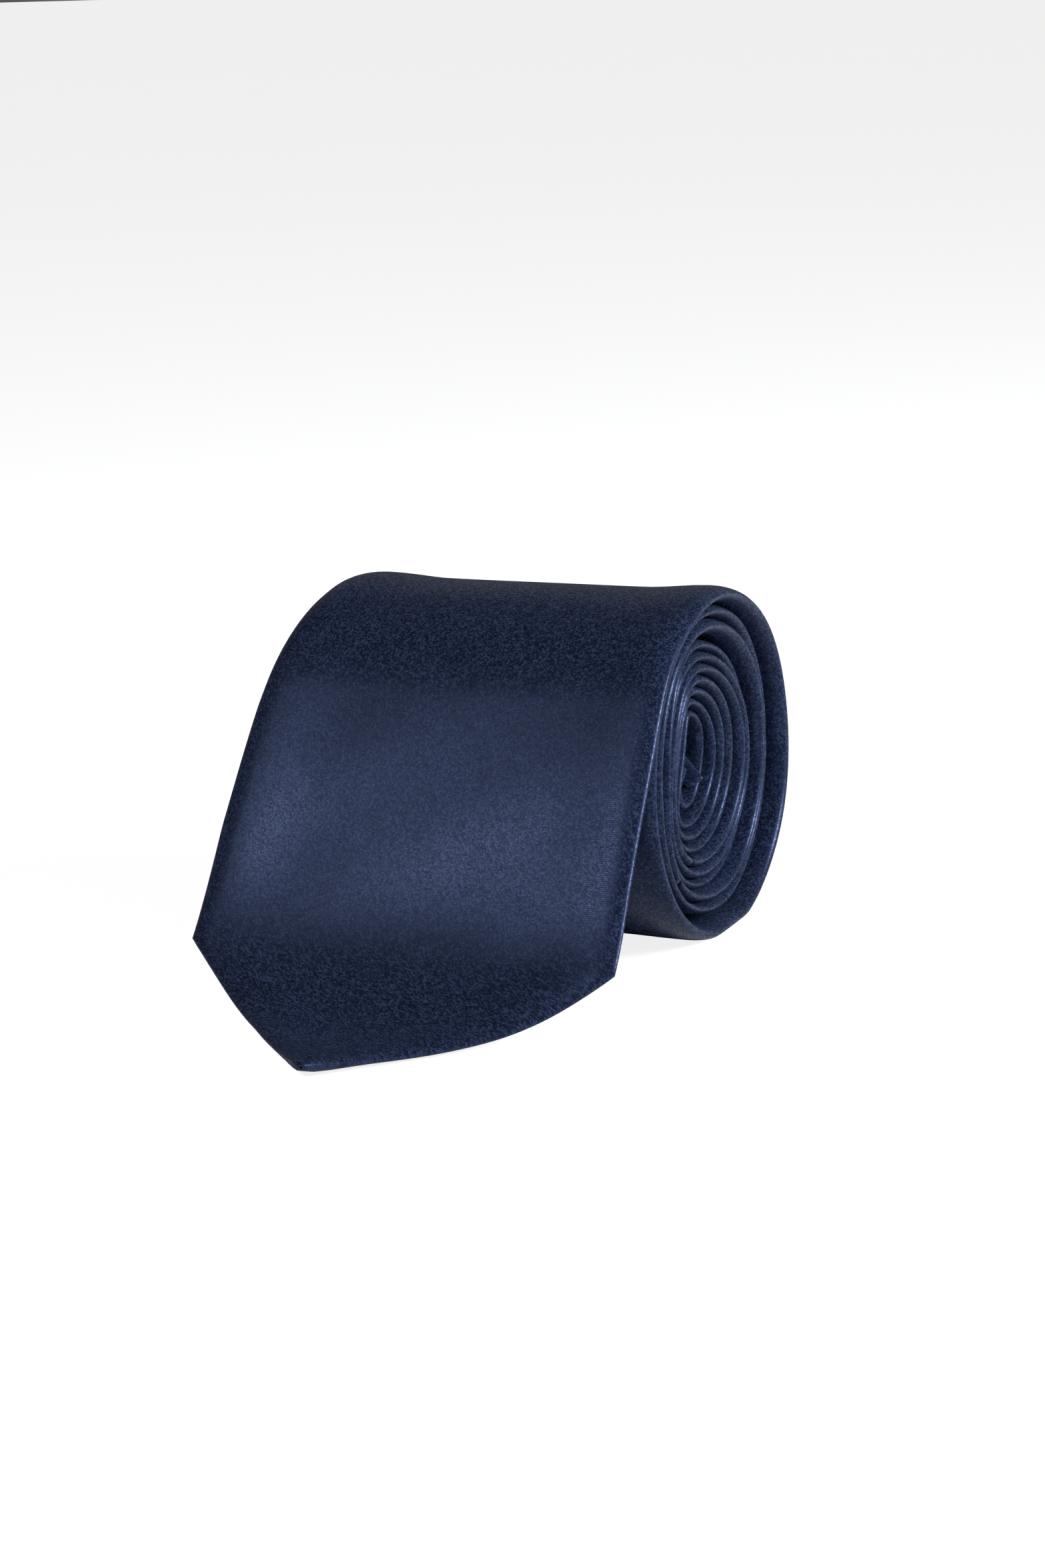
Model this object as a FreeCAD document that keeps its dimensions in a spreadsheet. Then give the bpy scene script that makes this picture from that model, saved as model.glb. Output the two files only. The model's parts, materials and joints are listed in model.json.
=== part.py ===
import FreeCAD, Part
import os
from math import atan2, ceil, cos, degrees, exp, floor, hypot, pi, radians, sin

# Rolled necktie, rest pose, in millimetres. X runs along the roll, with the flush end of the roll at +X.
# -Y is the front, where the free blade comes down, and +Z is up. A place on the tie is given by the length
# run from the point of the blade, the distance across from the middle of the cloth, and the height above
# the middle of its thickness. Height is positive on the satin face, which is the outside of the roll.

doc = FreeCAD.newDocument("necktie")

SIZES = [
    ("blade_width", 85.0),        # the widest place, at the corners of the point
    ("neck_width", 39.0),
    ("tail_width", 48.0),
    ("tip_half", 1.3),            # half width of the blunted point
    ("taper_end", 640.0),         # run where the blade has narrowed to the neck
    ("neck_end", 1016.0),
    ("stack", 2.0),               # pressed thickness of the folded tie
    ("wall", 0.4),                # satin
    ("core_top", 0.5),           # interlining, heights above the middle
    ("core_low", -0.15),
    ("lining_top", -0.25),        # tipping and seam allowances
    ("lining_low", -0.5),
    ("hinge_gap", 0.3),
    ("slit_half", 0.5),           # half of the gap between the folded edges at the back
    ("hem", 11.5),                # turned-in satin along the point
    ("slip_run", 134.0),          # where the slip stitch starts
    ("bias_one", 618.0),          # seam between blade and neck pieces
    ("bias_two", 1018.0),         # seam between neck and tail pieces
    ("seam_half", 7.0),
    ("roll_depth", 79.7),         # outside sizes of the roll where the blade leaves it
    ("roll_height", 73.7),
    ("roll_tilt", 12.8),          # lean of the outer turns, and of the core
    ("core_tilt", 24.0),
    ("leave_angle", 68.8),        # how far in front of the top the blade leaves
    ("turns", 9.6),
    ("pitch_depth", 3.26),        # how much closer each turn is to the centre
    ("pitch_height", 2.34),
    ("loose_depth", 1.6),         # looseness of the outer turns
    ("loose_height", 3.4),
    ("loose_turns", 0.8),
    ("centre_rise", 2.55),
    ("centre_forward", 3.7),
    ("front_in", 7.3),            # how far the front of the third turn is pressed in, and the last one
    ("front_in_last", 5.3),
    ("top_in", 2.6),              # how far the tops of the inner turns have dropped, and the last one
    ("top_in_last", 1.4),
    ("flat_dip", 0.8),            # how far the bottom of the roll is pressed flat
    ("reach", 103.7),              # distance of the point in front of the roll's centre
    ("point_rise", 2.5),
    ("leave_pull", 0.65),
    ("land_pull", 0.464),
    ("land_angle", 8.2),
    ("drift", 0.01),              # sideways drift of the free blade per unit of run
    ("flush_run", 132.0),         # from here the right-hand edges of the turns are nearly flush
    ("flush_step", 0.006),
    ("core_bend", 2.6),           # radius where the tail leaves the wall of the core
    ("core_bend_angle", 112.0),
    ("core_mid_forward", 1.3),    # the tail bulges back through the middle of the core
    ("core_mid_up", 33.8),
    ("core_top_forward", 1.9),    # and doubles back under the top of the last turn
    ("core_top_up", 38.2),
    ("tail_turn_back", 1.2),      # radius where the end of the tail doubles back
    ("tail_back", 11.0),          # length doubled back
    ("tail_apex", 8.5),
    ("tail_apex_x", 35.3),
    ("keeper_run", 253.0),
    ("keeper_wide", 13.0),
    ("keeper_span", 50.0),
    ("keeper_thick", 0.75),
    ("label_run", 278.0),
    ("label_long", 25.0),
    ("label_span", 38.0),
    ("label_thick", 0.3),
    ("tack_span", 8.0),
    ("tack_wide", 1.2),
    ("tack_thick", 0.3),
    ("thread", 0.6),
    ("air_gap", 0.1),              # air between pieces that lie on each other
]

sheet = doc.addObject("Spreadsheet::Sheet", "Sizes")
for row, (alias, value) in enumerate(SIZES, start=1):
    sheet.set("A%d" % row, alias)
    sheet.set("B%d" % row, str(value))
    sheet.setAlias("B%d" % row, alias)
doc.recompute()


def size(alias):
    return float(getattr(sheet, alias))


HALF = size("stack") / 2
TURN = 2 * pi


def between(v, points):
    """Straight lines through (place, value) points."""
    if v <= points[0][0]:
        return points[0][1]
    for (v0, a0), (v1, a1) in zip(points, points[1:]):
        if v <= v1:
            return a0 + (a1 - a0) * (v - v0) / (v1 - v0)
    return points[-1][1]


# ---- the line the tie follows, seen from the end of the roll: (distance forward, height) ----

FRONT_IN = [(0.2, 0.0), (2.9, size("front_in")), (6.0, 6.3), (8.0, 5.9), (8.8, 6.5),
            (9.2, size("front_in_last"))]
TOP_IN = [(0.4, 0.0), (1.2, 0.7), (2.2, 0.8), (3.2, size("top_in")), (9.2, size("top_in_last"))]
BACK_IN = [(0.2, 0.0), (1.4, 1.2), (2.4, 2.4), (3.4, 1.1), (4.4, -0.1), (5.4, -1.3),
           (6.4, 0.0), (7.4, -1.1), (8.4, -2.0), (9.4, 0.4)]
BOTTOM_IN = [(0.8, 0.0), (1.7, 1.0), (2.7, 0.6), (4.7, 0.5), (6.7, 0.4), (8.7, 0.6), (9.7, 2.1)]


def slack(u):
    return 1 - exp(-u / size("loose_turns"))


def spiral(u):
    """Middle of the cloth u turns after it leaves the free blade."""
    depth = size("roll_depth") / 2 - size("pitch_depth") * u - size("loose_depth") * slack(u)
    height = size("roll_height") / 2 - HALF - size("pitch_height") * u - size("loose_height") * slack(u)
    angle = radians(size("leave_angle")) - TURN * u
    forward = depth * sin(angle)
    up = height * cos(angle)
    tilt = radians(size("roll_tilt") + (size("core_tilt") - size("roll_tilt")) * u / size("turns"))
    f = forward * cos(tilt) - up * sin(tilt)
    z = forward * sin(tilt) + up * cos(tilt)
    f += size("centre_forward") * u / size("turns")
    z += size("centre_rise") * slack(u)
    f -= between(u, FRONT_IN) * max(sin(angle), 0) ** 2
    z -= between(u, TOP_IN) * max(cos(angle), 0) ** 2
    f += between(u, BACK_IN) * max(-sin(angle), 0) ** 2
    z += between(u, BOTTOM_IN) * max(-cos(angle), 0) ** 2
    return f, z


def lowest(first, last, count=4000):
    return min(spiral(first + (last - first) * i / count)[1] for i in range(count + 1))


FLOOR = lowest(0.4, 1.0) + size("flat_dip")


def press(z, u):
    """Flattens the bottom of the outer turn onto the surface it lies on."""
    if u > 1.0:
        return z - FLOOR + HALF
    soft = size("flat_dip") / 2
    d = z - FLOOR
    if d >= soft:
        return d + HALF
    if d <= -soft:
        return HALF
    return (d + soft) ** 2 / (4 * soft) + HALF


def rolled(u):
    f, z = spiral(u)
    return f, press(z, u)


def steer(line, i):
    """Unit direction of a dense line of points at point i."""
    a = line[max(i - 1, 0)]
    b = line[min(i + 1, len(line) - 1)]
    d = hypot(b[0] - a[0], b[1] - a[1])
    return (b[0] - a[0]) / d, (b[1] - a[1]) / d


def free_blade():
    """From the point of the blade up to where it meets the roll."""
    start = rolled(0.0)
    ahead = rolled(0.0005)
    step = hypot(ahead[0] - start[0], ahead[1] - start[1])
    away = ((start[0] - ahead[0]) / step, (start[1] - ahead[1]) / step)
    end = (size("reach"), size("point_rise"))
    span = hypot(end[0] - start[0], end[1] - start[1])
    leave = size("leave_pull") * span
    land = size("land_pull") * span
    slope = radians(size("land_angle"))
    one = (start[0] + away[0] * leave, start[1] + away[1] * leave)
    two = (end[0] - cos(slope) * land, end[1] - sin(slope) * land)
    line = []
    count = 1200
    for i in range(count):
        v = 1 - i / count
        k = ((1 - v) ** 3, 3 * (1 - v) ** 2 * v, 3 * (1 - v) * v * v, v ** 3)
        line.append(tuple(k[0] * start[j] + k[1] * one[j] + k[2] * two[j] + k[3] * end[j] for j in (0, 1)))
    return line


def bezier(a, b, c, d, count):
    """Points after a, up to and including d."""
    line = []
    for i in range(1, count + 1):
        v = i / count
        k = ((1 - v) ** 3, 3 * (1 - v) ** 2 * v, 3 * (1 - v) * v * v, v ** 3)
        line.append(tuple(k[0] * a[j] + k[1] * b[j] + k[2] * c[j] + k[3] * d[j] for j in (0, 1)))
    return line


def through_core(roll):
    """The last stretch of the tail bends up off the wall of the core and bulges back through its middle."""
    line = []
    radius = size("core_bend")
    tf, tz = steer(roll, len(roll) - 1)
    centre = (roll[-1][0] - tz * radius, roll[-1][1] + tf * radius)
    for i in range(1, 81):
        a = radians(size("core_bend_angle")) * i / 80
        line.append((centre[0] + radius * (tz * cos(a) + tf * sin(a)),
                     centre[1] + radius * (tz * sin(a) - tf * cos(a))))
    bent = steer(line, len(line) - 1)
    middle = (size("core_mid_forward"), size("core_mid_up"))
    top = (size("core_top_forward"), size("core_top_up"))
    line += bezier(line[-1], (line[-1][0] + bent[0] * 2.2, line[-1][1] + bent[1] * 2.2),
                   (middle[0] + 0.5, middle[1] - 2.2), middle, 200)
    line += bezier(middle, (middle[0] - 0.35, middle[1] + 1.54),
                   (top[0] - 0.35, top[1] - 1.5), top, 200)
    return line


def doubled_back(roll):
    """The end of the tail turns inward on itself and lies back along its own inner side."""
    line = []
    radius = size("tail_turn_back")
    last = len(roll) - 1
    tf, tz = steer(roll, last)
    inward = (-tz, tf)
    cf = roll[last][0] + inward[0] * radius
    cz = roll[last][1] + inward[1] * radius
    for i in range(1, 40):
        a = pi * i / 40
        line.append((cf - inward[0] * radius * cos(a) + tf * radius * sin(a),
                     cz - inward[1] * radius * cos(a) + tz * radius * sin(a)))
    run = 0.0
    i = last
    while run < size("tail_back"):
        tf, tz = steer(roll, i)
        line.append((roll[i][0] - tz * 2 * radius, roll[i][1] + tf * 2 * radius))
        run += hypot(line[-1][0] - line[-2][0], line[-1][1] - line[-2][1])
        i -= 1
    return line


def measure(line, first=0.0):
    runs = [first]
    for a, b in zip(line, line[1:]):
        runs.append(runs[-1] + hypot(b[0] - a[0], b[1] - a[1]))
    return runs


BLADE_LINE = free_blade()
STEPS = 9000
ROLL_LINE = [rolled(size("turns") * i / STEPS) for i in range(STEPS + 1)]
WHOLE_ROLL = ROLL_LINE + through_core(ROLL_LINE)
TAIL_LINE = doubled_back(WHOLE_ROLL)
LINE = BLADE_LINE + WHOLE_ROLL + TAIL_LINE
RUNS = measure(LINE)
LEAVE_RUN = RUNS[len(BLADE_LINE)]
CORE_RUN = RUNS[len(BLADE_LINE) + STEPS]
FOLD_RUN = RUNS[len(BLADE_LINE) + len(WHOLE_ROLL) - 1]
BACK_RUN = FOLD_RUN + pi * size("tail_turn_back")
END_RUN = RUNS[-1]
TAIL_CORNER = FOLD_RUN - size("tail_apex")


def find(run):
    low = 0
    high = len(RUNS) - 1
    while high - low > 1:
        middle = (low + high) // 2
        if RUNS[middle] <= run:
            low = middle
        else:
            high = middle
    return low


def place(run, height=0.0):
    """(forward, up) of a point of the cloth, and the unit direction of the run there."""
    i = find(run)
    share = (run - RUNS[i]) / (RUNS[i + 1] - RUNS[i])
    a = steer(LINE, i)
    b = steer(LINE, i + 1)
    tf = a[0] + (b[0] - a[0]) * share
    tz = a[1] + (b[1] - a[1]) * share
    scale = hypot(tf, tz)
    tf /= scale
    tz /= scale
    f = LINE[i][0] + (LINE[i + 1][0] - LINE[i][0]) * share
    z = LINE[i][1] + (LINE[i + 1][1] - LINE[i][1]) * share
    return f + tz * height, z - tf * height, tf, tz


# ---- how wide the tie is and where its edges lie ----

CORNER = size("blade_width") / 2
WIDTHS = [
    (0.0, size("tip_half")),
    (CORNER, CORNER),
    (size("taper_end"), size("neck_width") / 2),
    (size("neck_end"), size("neck_width") / 2),
    (TAIL_CORNER, size("tail_width") / 2),
]


def natural_half(run):
    return between(run, WIDTHS)


def right_edge(run):
    flush = size("flush_run")
    if run < flush:
        return size("drift") * (run - CORNER) + natural_half(run)
    start = size("drift") * (flush - CORNER) + natural_half(flush)
    return start - size("flush_step") * (run - flush)


FOLD_X = size("tail_apex_x") - size("tail_apex")
TAIL_EDGE = [
    (FOLD_RUN - (right_edge(FOLD_RUN) - FOLD_X), right_edge(FOLD_RUN)),
    (FOLD_RUN, FOLD_X),
    (BACK_RUN, FOLD_X),
    (BACK_RUN + size("tail_apex"), size("tail_apex_x")),
    (END_RUN, size("tail_apex_x") - (END_RUN - BACK_RUN - size("tail_apex"))),
]


def edges(run):
    """Left and right edge of the folded tie."""
    right = right_edge(run)
    left = right - 2 * natural_half(run)
    if run > TAIL_EDGE[0][0]:
        right = between(run, TAIL_EDGE)
    return left, right


def slit(run, half):
    """Half the gap between the two folded edges of the satin at the back."""
    narrow = size("slit_half")
    if run <= size("hem"):
        return narrow
    if run <= CORNER:
        return narrow + (run - size("hem")) * (CORNER - size("hem") - narrow) / (CORNER - size("hem"))
    wide = CORNER - size("hem")
    return between(run, [(CORNER, wide), (size("slip_run"), narrow)])


KINKS = sorted([
    size("hem"), CORNER, size("flush_run"), size("slip_run"), size("taper_end"), size("neck_end"),
    CORE_RUN, TAIL_CORNER, TAIL_EDGE[0][0], FOLD_RUN, BACK_RUN, BACK_RUN + size("tail_apex"),
])


# ---- solids swept along the line ----

def flat_runs():
    """Run at the two ends of the stretch pressed flat."""
    level = [i for i in range(len(ROLL_LINE)) if abs(ROLL_LINE[i][1] - HALF) < 1e-9]
    first = len(BLADE_LINE) + level[0]
    last = len(BLADE_LINE) + level[-1]
    return RUNS[first], RUNS[last]


FLAT = flat_runs()
HALF_TURNS = [RUNS[len(BLADE_LINE) + round(STEPS * (k / 2 - 0.06) / size("turns"))]
              for k in range(1, int(2 * size("turns")) + 1)]


def stations(first, last):
    """Runs between first and last that give an even turn from one to the next."""
    amount = 0.0
    marks = [(first, 0.0)]
    run = first
    _, _, tf, tz = place(first)
    while run < last:
        run = min(run + 0.2, last)
        _, _, nf, nz = place(run)
        amount += abs(atan2(tf * nz - tz * nf, tf * nf + tz * nz)) + 0.2 / 60
        marks.append((run, amount))
        tf, tz = nf, nz
    count = max(3, ceil(amount / 0.2))
    chosen = [first]
    j = 0
    for i in range(1, count):
        while marks[j][1] < amount * i / count:
            j += 1
        if chosen[-1] + 0.05 < marks[j][0] < last - 0.05:
            chosen.append(marks[j][0])
    return chosen + [last]


def point(run, x, height):
    f, z, _, _ = place(run, height)
    return FreeCAD.Vector(x, -f, z)


def swept(first, last, outline):
    """Solid along the line from run first to run last. outline(run) gives its corners as (x, height)."""
    cuts = [first] + [k for k in sorted(KINKS + list(FLAT)) if first + 0.4 < k < last - 0.4] + [last]
    cuts += [k for k in HALF_TURNS if first < k < last and min(abs(k - c) for c in cuts) > 5]
    cuts.sort()
    faces = []
    for a, b in zip(cuts, cuts[1:]):
        level = a >= FLAT[0] - 1e-6 and b <= FLAT[1] + 1e-6
        runs = [a, b] if level else stations(a, b)
        rails = []
        count = len(outline(a))
        for k in range(count):
            points = [point(r, *outline(r)[k]) for r in runs]
            if len(points) == 2:
                rails.append(Part.LineSegment(points[0], points[1]).toShape())
            else:
                near = point(a + 0.05, *outline(a + 0.05)[k])
                far = point(b - 0.05, *outline(b - 0.05)[k])
                curve = Part.BSplineCurve()
                curve.interpolate(Points=points, Parameters=runs,
                                  InitialTangent=(near - points[0]) * 20, FinalTangent=(points[-1] - far) * 20)
                rails.append(curve.toShape())
        for k in range(count):
            one = rails[k]
            two = rails[(k + 1) % count]
            flat_pair = level and abs(outline(a)[k][1] - outline(a)[(k + 1) % count][1]) < 1e-9
            if flat_pair:
                ends = [one.Vertexes[0].Point, one.Vertexes[-1].Point,
                        two.Vertexes[-1].Point, two.Vertexes[0].Point]
                faces.append(Part.Face(Part.makePolygon(ends + ends[:1])))
            else:
                faces.append(Part.makeRuledSurface(one, two, 1))
    for run in (first, last):
        ring = [point(run, *c) for c in outline(run)]
        faces.append(Part.Face(Part.makePolygon(ring + ring[:1])))
    shell = Part.Compound(faces)
    shell.sewShape(1e-4)
    solid = Part.Solid(shell.Shells[0])
    if solid.Volume < 0:
        solid.reverse()
    return solid


def band(low, high, left, right):
    """Outline of a plain strip; left and right are functions of the run."""
    def outline(run):
        a = left(run)
        b = right(run)
        return [(a, high), (b, high), (b, low), (a, low)]
    return outline


def satin(run):
    """Section of the folded satin: a tube slit along the middle of the back."""
    left, right = edges(run)
    wall = size("wall")
    half = (right - left) / 2
    mid = (left + right) / 2
    inner = HALF - wall
    side = half - wall
    gap = min(slit(run, half), side - 0.2)
    return [
        (mid - half, HALF), (mid + half, HALF), (mid + half, -HALF), (mid + gap, -HALF),
        (mid + gap, -inner), (mid + side, -inner), (mid + side, inner), (mid - side, inner),
        (mid - side, -inner), (mid - gap, -inner), (mid - gap, -HALF), (mid - half, -HALF),
    ]


def inside(margin):
    def left(run):
        return edges(run)[0] + margin

    def right(run):
        return edges(run)[1] - margin
    return left, right


def middle(offset):
    def x(run):
        left, right = edges(run)
        return (left + right) / 2 + offset
    return x


def add(name, shape):
    """A sub-part from finished solids."""
    feature = doc.addObject("Part::Feature", name)
    feature.Shape = shape
    feature.Label = name
    return feature


def add_bar(name, run, low):
    """A short bar of stitches across the tie, standing on its back at that run."""
    bar = doc.addObject("Part::Box", name)
    bar.Label = name
    bar.setExpression("Length", "Sizes.tack_span")
    bar.setExpression("Width", "Sizes.tack_wide")
    bar.setExpression("Height", "Sizes.tack_thick")
    doc.recompute()
    x = middle(-size("tack_span") / 2)(run)
    f, z, tf, tz = place(run, low)
    turn = FreeCAD.Rotation(FreeCAD.Vector(1, 0, 0), degrees(atan2(tz, -tf)))
    bar.Placement = FreeCAD.Placement(FreeCAD.Vector(x, -f, z), turn)
    return bar


BACK = -HALF - size("air_gap")
SPLIT_FREE = LEAVE_RUN - size("hinge_gap") / 2
SPLIT_ROLL = LEAVE_RUN + size("hinge_gap") / 2
SEAM_GAP = size("air_gap") / 2
SLIP_END = FOLD_RUN - 60.0


def build_satin():
    add("blade_satin_free", swept(0.0, SPLIT_FREE, satin))
    add("blade_satin_rolled", swept(SPLIT_ROLL, size("bias_one") - SEAM_GAP, satin))
    add("neck_satin", swept(size("bias_one") + SEAM_GAP, size("bias_two") - SEAM_GAP, satin))
    add("tail_satin", swept(size("bias_two") + SEAM_GAP, END_RUN, satin))


def build_core():
    left, right = inside(size("wall") + 0.35)
    outline = band(size("core_low"), size("core_top"), left, right)
    add("interlining_free", swept(2.5, SPLIT_FREE, outline))
    add("interlining_rolled", swept(SPLIT_ROLL, END_RUN - 1.5, outline))


def build_tipping():
    left, right = inside(size("wall") + 1.2)
    outline = band(size("lining_low"), size("lining_top"), left, right)
    add("blade_tipping_free", swept(4.0, SPLIT_FREE, outline))
    add("blade_tipping_rolled", swept(SPLIT_ROLL, size("slip_run") + 12.0, outline))
    add("tail_tipping", swept(SLIP_END - 12.0, END_RUN - 3.0, outline))


def build_joins():
    left, right = inside(size("wall") + 0.6)
    outline = band(size("lining_low"), size("lining_top"), left, right)
    for name, run in (("blade_neck_join", size("bias_one")), ("neck_tail_join", size("bias_two"))):
        add(name, swept(run - size("seam_half"), run + size("seam_half"), outline))


def build_slip_stitch():
    half = size("thread") / 2
    outline = band(-HALF + 0.05, -HALF + size("wall") - 0.05, middle(-half), middle(half))
    add("slip_stitch", swept(size("slip_run") + 1.0, SLIP_END, outline))


def build_keeper():
    half = size("keeper_span") / 2
    start = size("keeper_run")
    low = BACK - size("keeper_thick")
    strap = band(low, BACK, middle(-half), middle(half))
    add("keeper_loop", swept(start, start + size("keeper_wide"), strap))
    rows = []
    for side in (-1, 1):
        inner = side * (half - 3.0)
        outer = side * (half - 1.8)
        a, b = sorted((inner, outer))
        row = band(low - 0.25, low - 0.05, middle(a), middle(b))
        rows.append(swept(start + 1.0, start + size("keeper_wide") - 1.0, row))
    add("keeper_stitches", Part.Compound(rows))


def build_label():
    half = size("label_span") / 2
    start = size("label_run")
    low = BACK - size("label_thick")
    patch = band(low, BACK, middle(-half), middle(half))
    add("blank_label", swept(start, start + size("label_long"), patch))
    rows = []
    for run in (start + 1.0, start + size("label_long") - 1.6):
        row = band(low - 0.2, low - 0.05, middle(-half + 1.5), middle(half - 1.5))
        rows.append(swept(run, run + 0.6, row))
    add("label_stitches", Part.Compound(rows))


def build_tacks():
    low = BACK - size("tack_thick")
    add_bar("blade_bar_tack", size("slip_run") - 0.2, low)
    add_bar("tail_bar_tack", SLIP_END + 1.4, low)


for build in (build_satin, build_core, build_tipping, build_joins,
              build_slip_stitch, build_keeper, build_label, build_tacks):
    build()
doc.recompute()

# The origin is under the middle of the whole tie, on the surface it lies on.
pieces = [o for o in doc.Objects if o.isDerivedFrom("Part::Feature")]
whole = FreeCAD.BoundBox()
for piece in pieces:
    whole.add(piece.Shape.BoundBox)
shift = FreeCAD.Vector(-whole.Center.x, -whole.Center.y, 0)
for piece in pieces:
    moved = piece.Placement
    moved.Base = moved.Base + shift
    piece.Placement = moved
doc.recompute()

for item in doc.Objects:
    if "Invalid" in item.State or "Error" in item.State:
        raise RuntimeError("%s did not compute" % item.Label)
for piece in pieces:
    if piece.Shape.isNull() or not piece.Shape.isValid():
        raise RuntimeError("%s is not a sound solid" % piece.Label)

os.makedirs("parts", exist_ok=True)
for piece in pieces:
    piece.Shape.exportStep("parts/%s.step" % piece.Label)
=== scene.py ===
import json
from math import cos, hypot, pi, radians, sin

import bpy
import numpy as np
from mathutils import Matrix, Vector


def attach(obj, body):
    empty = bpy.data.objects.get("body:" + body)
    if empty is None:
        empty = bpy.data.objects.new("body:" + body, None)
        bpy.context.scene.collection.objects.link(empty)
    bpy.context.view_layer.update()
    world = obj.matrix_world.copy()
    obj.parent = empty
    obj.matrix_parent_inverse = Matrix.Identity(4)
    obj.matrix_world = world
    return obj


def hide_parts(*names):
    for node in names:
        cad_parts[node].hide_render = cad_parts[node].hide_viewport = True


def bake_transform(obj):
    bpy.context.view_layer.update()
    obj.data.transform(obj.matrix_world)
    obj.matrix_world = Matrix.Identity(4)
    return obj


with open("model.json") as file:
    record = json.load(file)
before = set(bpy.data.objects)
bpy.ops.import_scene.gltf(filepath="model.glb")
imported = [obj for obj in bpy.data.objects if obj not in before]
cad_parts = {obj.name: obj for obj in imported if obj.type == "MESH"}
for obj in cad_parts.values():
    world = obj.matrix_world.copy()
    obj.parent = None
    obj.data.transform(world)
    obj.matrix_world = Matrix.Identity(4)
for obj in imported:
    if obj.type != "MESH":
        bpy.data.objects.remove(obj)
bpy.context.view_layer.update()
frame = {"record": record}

# ---- the line the tie follows, the same formulas as the solids: (distance forward, height), mm ----

SIZES = dict(
    tip_half=1.3, blade_width=85.0, neck_width=39.0, tail_width=48.0, taper_end=640.0, neck_end=1016.0,
    stack=2.0, hem=11.5, slip_run=134.0, slit_half=0.5, bias_one=618.0, bias_two=1018.0,
    roll_depth=79.7, roll_height=73.7, roll_tilt=12.8, core_tilt=24.0, leave_angle=68.8, turns=9.6,
    pitch_depth=3.26, pitch_height=2.34, loose_depth=1.6, loose_height=3.4, loose_turns=0.8,
    centre_rise=2.55, centre_forward=3.7, front_in=7.3, front_in_last=5.3, top_in=2.6, top_in_last=1.4,
    flat_dip=0.8, reach=103.7, point_rise=2.5, leave_pull=0.65, land_pull=0.464, land_angle=8.2,
    drift=0.01, flush_run=132.0, flush_step=0.006, core_bend=2.6, core_bend_angle=112.0,
    core_mid_forward=1.3, core_mid_up=33.8, core_top_forward=1.9, core_top_up=38.2,
    tail_turn_back=1.2, tail_back=11.0, tail_apex=8.5, tail_apex_x=35.3,
    keeper_run=253.0, keeper_wide=13.0, keeper_span=50.0, keeper_thick=0.75,
    label_run=278.0, label_long=25.0, label_span=38.0, label_thick=0.3,
    tack_span=8.0, tack_wide=1.2,
)
size = SIZES.__getitem__
HALF = size("stack") / 2
TURN = 2 * pi
MM = 0.001

FRONT_IN = [(0.2, 0.0), (2.9, size("front_in")), (6.0, 6.3), (8.0, 5.9), (8.8, 6.5),
            (9.2, size("front_in_last"))]
TOP_IN = [(0.4, 0.0), (1.2, 0.7), (2.2, 0.8), (3.2, size("top_in")), (9.2, size("top_in_last"))]
BACK_IN = [(0.2, 0.0), (1.4, 1.2), (2.4, 2.4), (3.4, 1.1), (4.4, -0.1), (5.4, -1.3),
           (6.4, 0.0), (7.4, -1.1), (8.4, -2.0), (9.4, 0.4)]
BOTTOM_IN = [(0.8, 0.0), (1.7, 1.0), (2.7, 0.6), (4.7, 0.5), (6.7, 0.4), (8.7, 0.6), (9.7, 2.1)]


def between(v, points):
    """Straight lines through (place, value) points."""
    return np.interp(v, [p[0] for p in points], [p[1] for p in points])


def spiral(u):
    """Middle of the cloth u turns after it leaves the free blade."""
    slack = 1 - np.exp(-u / size("loose_turns"))
    depth = size("roll_depth") / 2 - size("pitch_depth") * u - size("loose_depth") * slack
    height = size("roll_height") / 2 - HALF - size("pitch_height") * u - size("loose_height") * slack
    angle = radians(size("leave_angle")) - TURN * u
    forward = depth * np.sin(angle)
    up = height * np.cos(angle)
    tilt = np.radians(size("roll_tilt") + (size("core_tilt") - size("roll_tilt")) * u / size("turns"))
    f = forward * np.cos(tilt) - up * np.sin(tilt) + size("centre_forward") * u / size("turns")
    z = forward * np.sin(tilt) + up * np.cos(tilt) + size("centre_rise") * slack
    f = f - between(u, FRONT_IN) * np.maximum(np.sin(angle), 0) ** 2
    z = z - between(u, TOP_IN) * np.maximum(np.cos(angle), 0) ** 2
    f = f + between(u, BACK_IN) * np.maximum(-np.sin(angle), 0) ** 2
    z = z + between(u, BOTTOM_IN) * np.maximum(-np.cos(angle), 0) ** 2
    return f, z


def rolled(u):
    """The spiral with the bottom of its outer turn pressed flat on the surface it lies on."""
    f, z = spiral(u)
    floor = spiral(0.4 + 0.6 * np.arange(4001) / 4000)[1].min() + size("flat_dip")
    soft = size("flat_dip") / 2
    d = z - floor
    low = np.where(d <= -soft, 0.0, (d + soft) ** 2 / (4 * soft))
    return f, np.where((u > 1.0) | (d >= soft), d, low) + HALF


def bezier(a, b, c, d, count):
    v = (np.arange(1, count + 1) / count)[:, None]
    a, b, c, d = (np.array(p) for p in (a, b, c, d))
    return (1 - v) ** 3 * a + 3 * (1 - v) ** 2 * v * b + 3 * (1 - v) * v * v * c + v ** 3 * d


def heading(line):
    step = line[-1] - line[-2]
    return step / hypot(*step)


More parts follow.
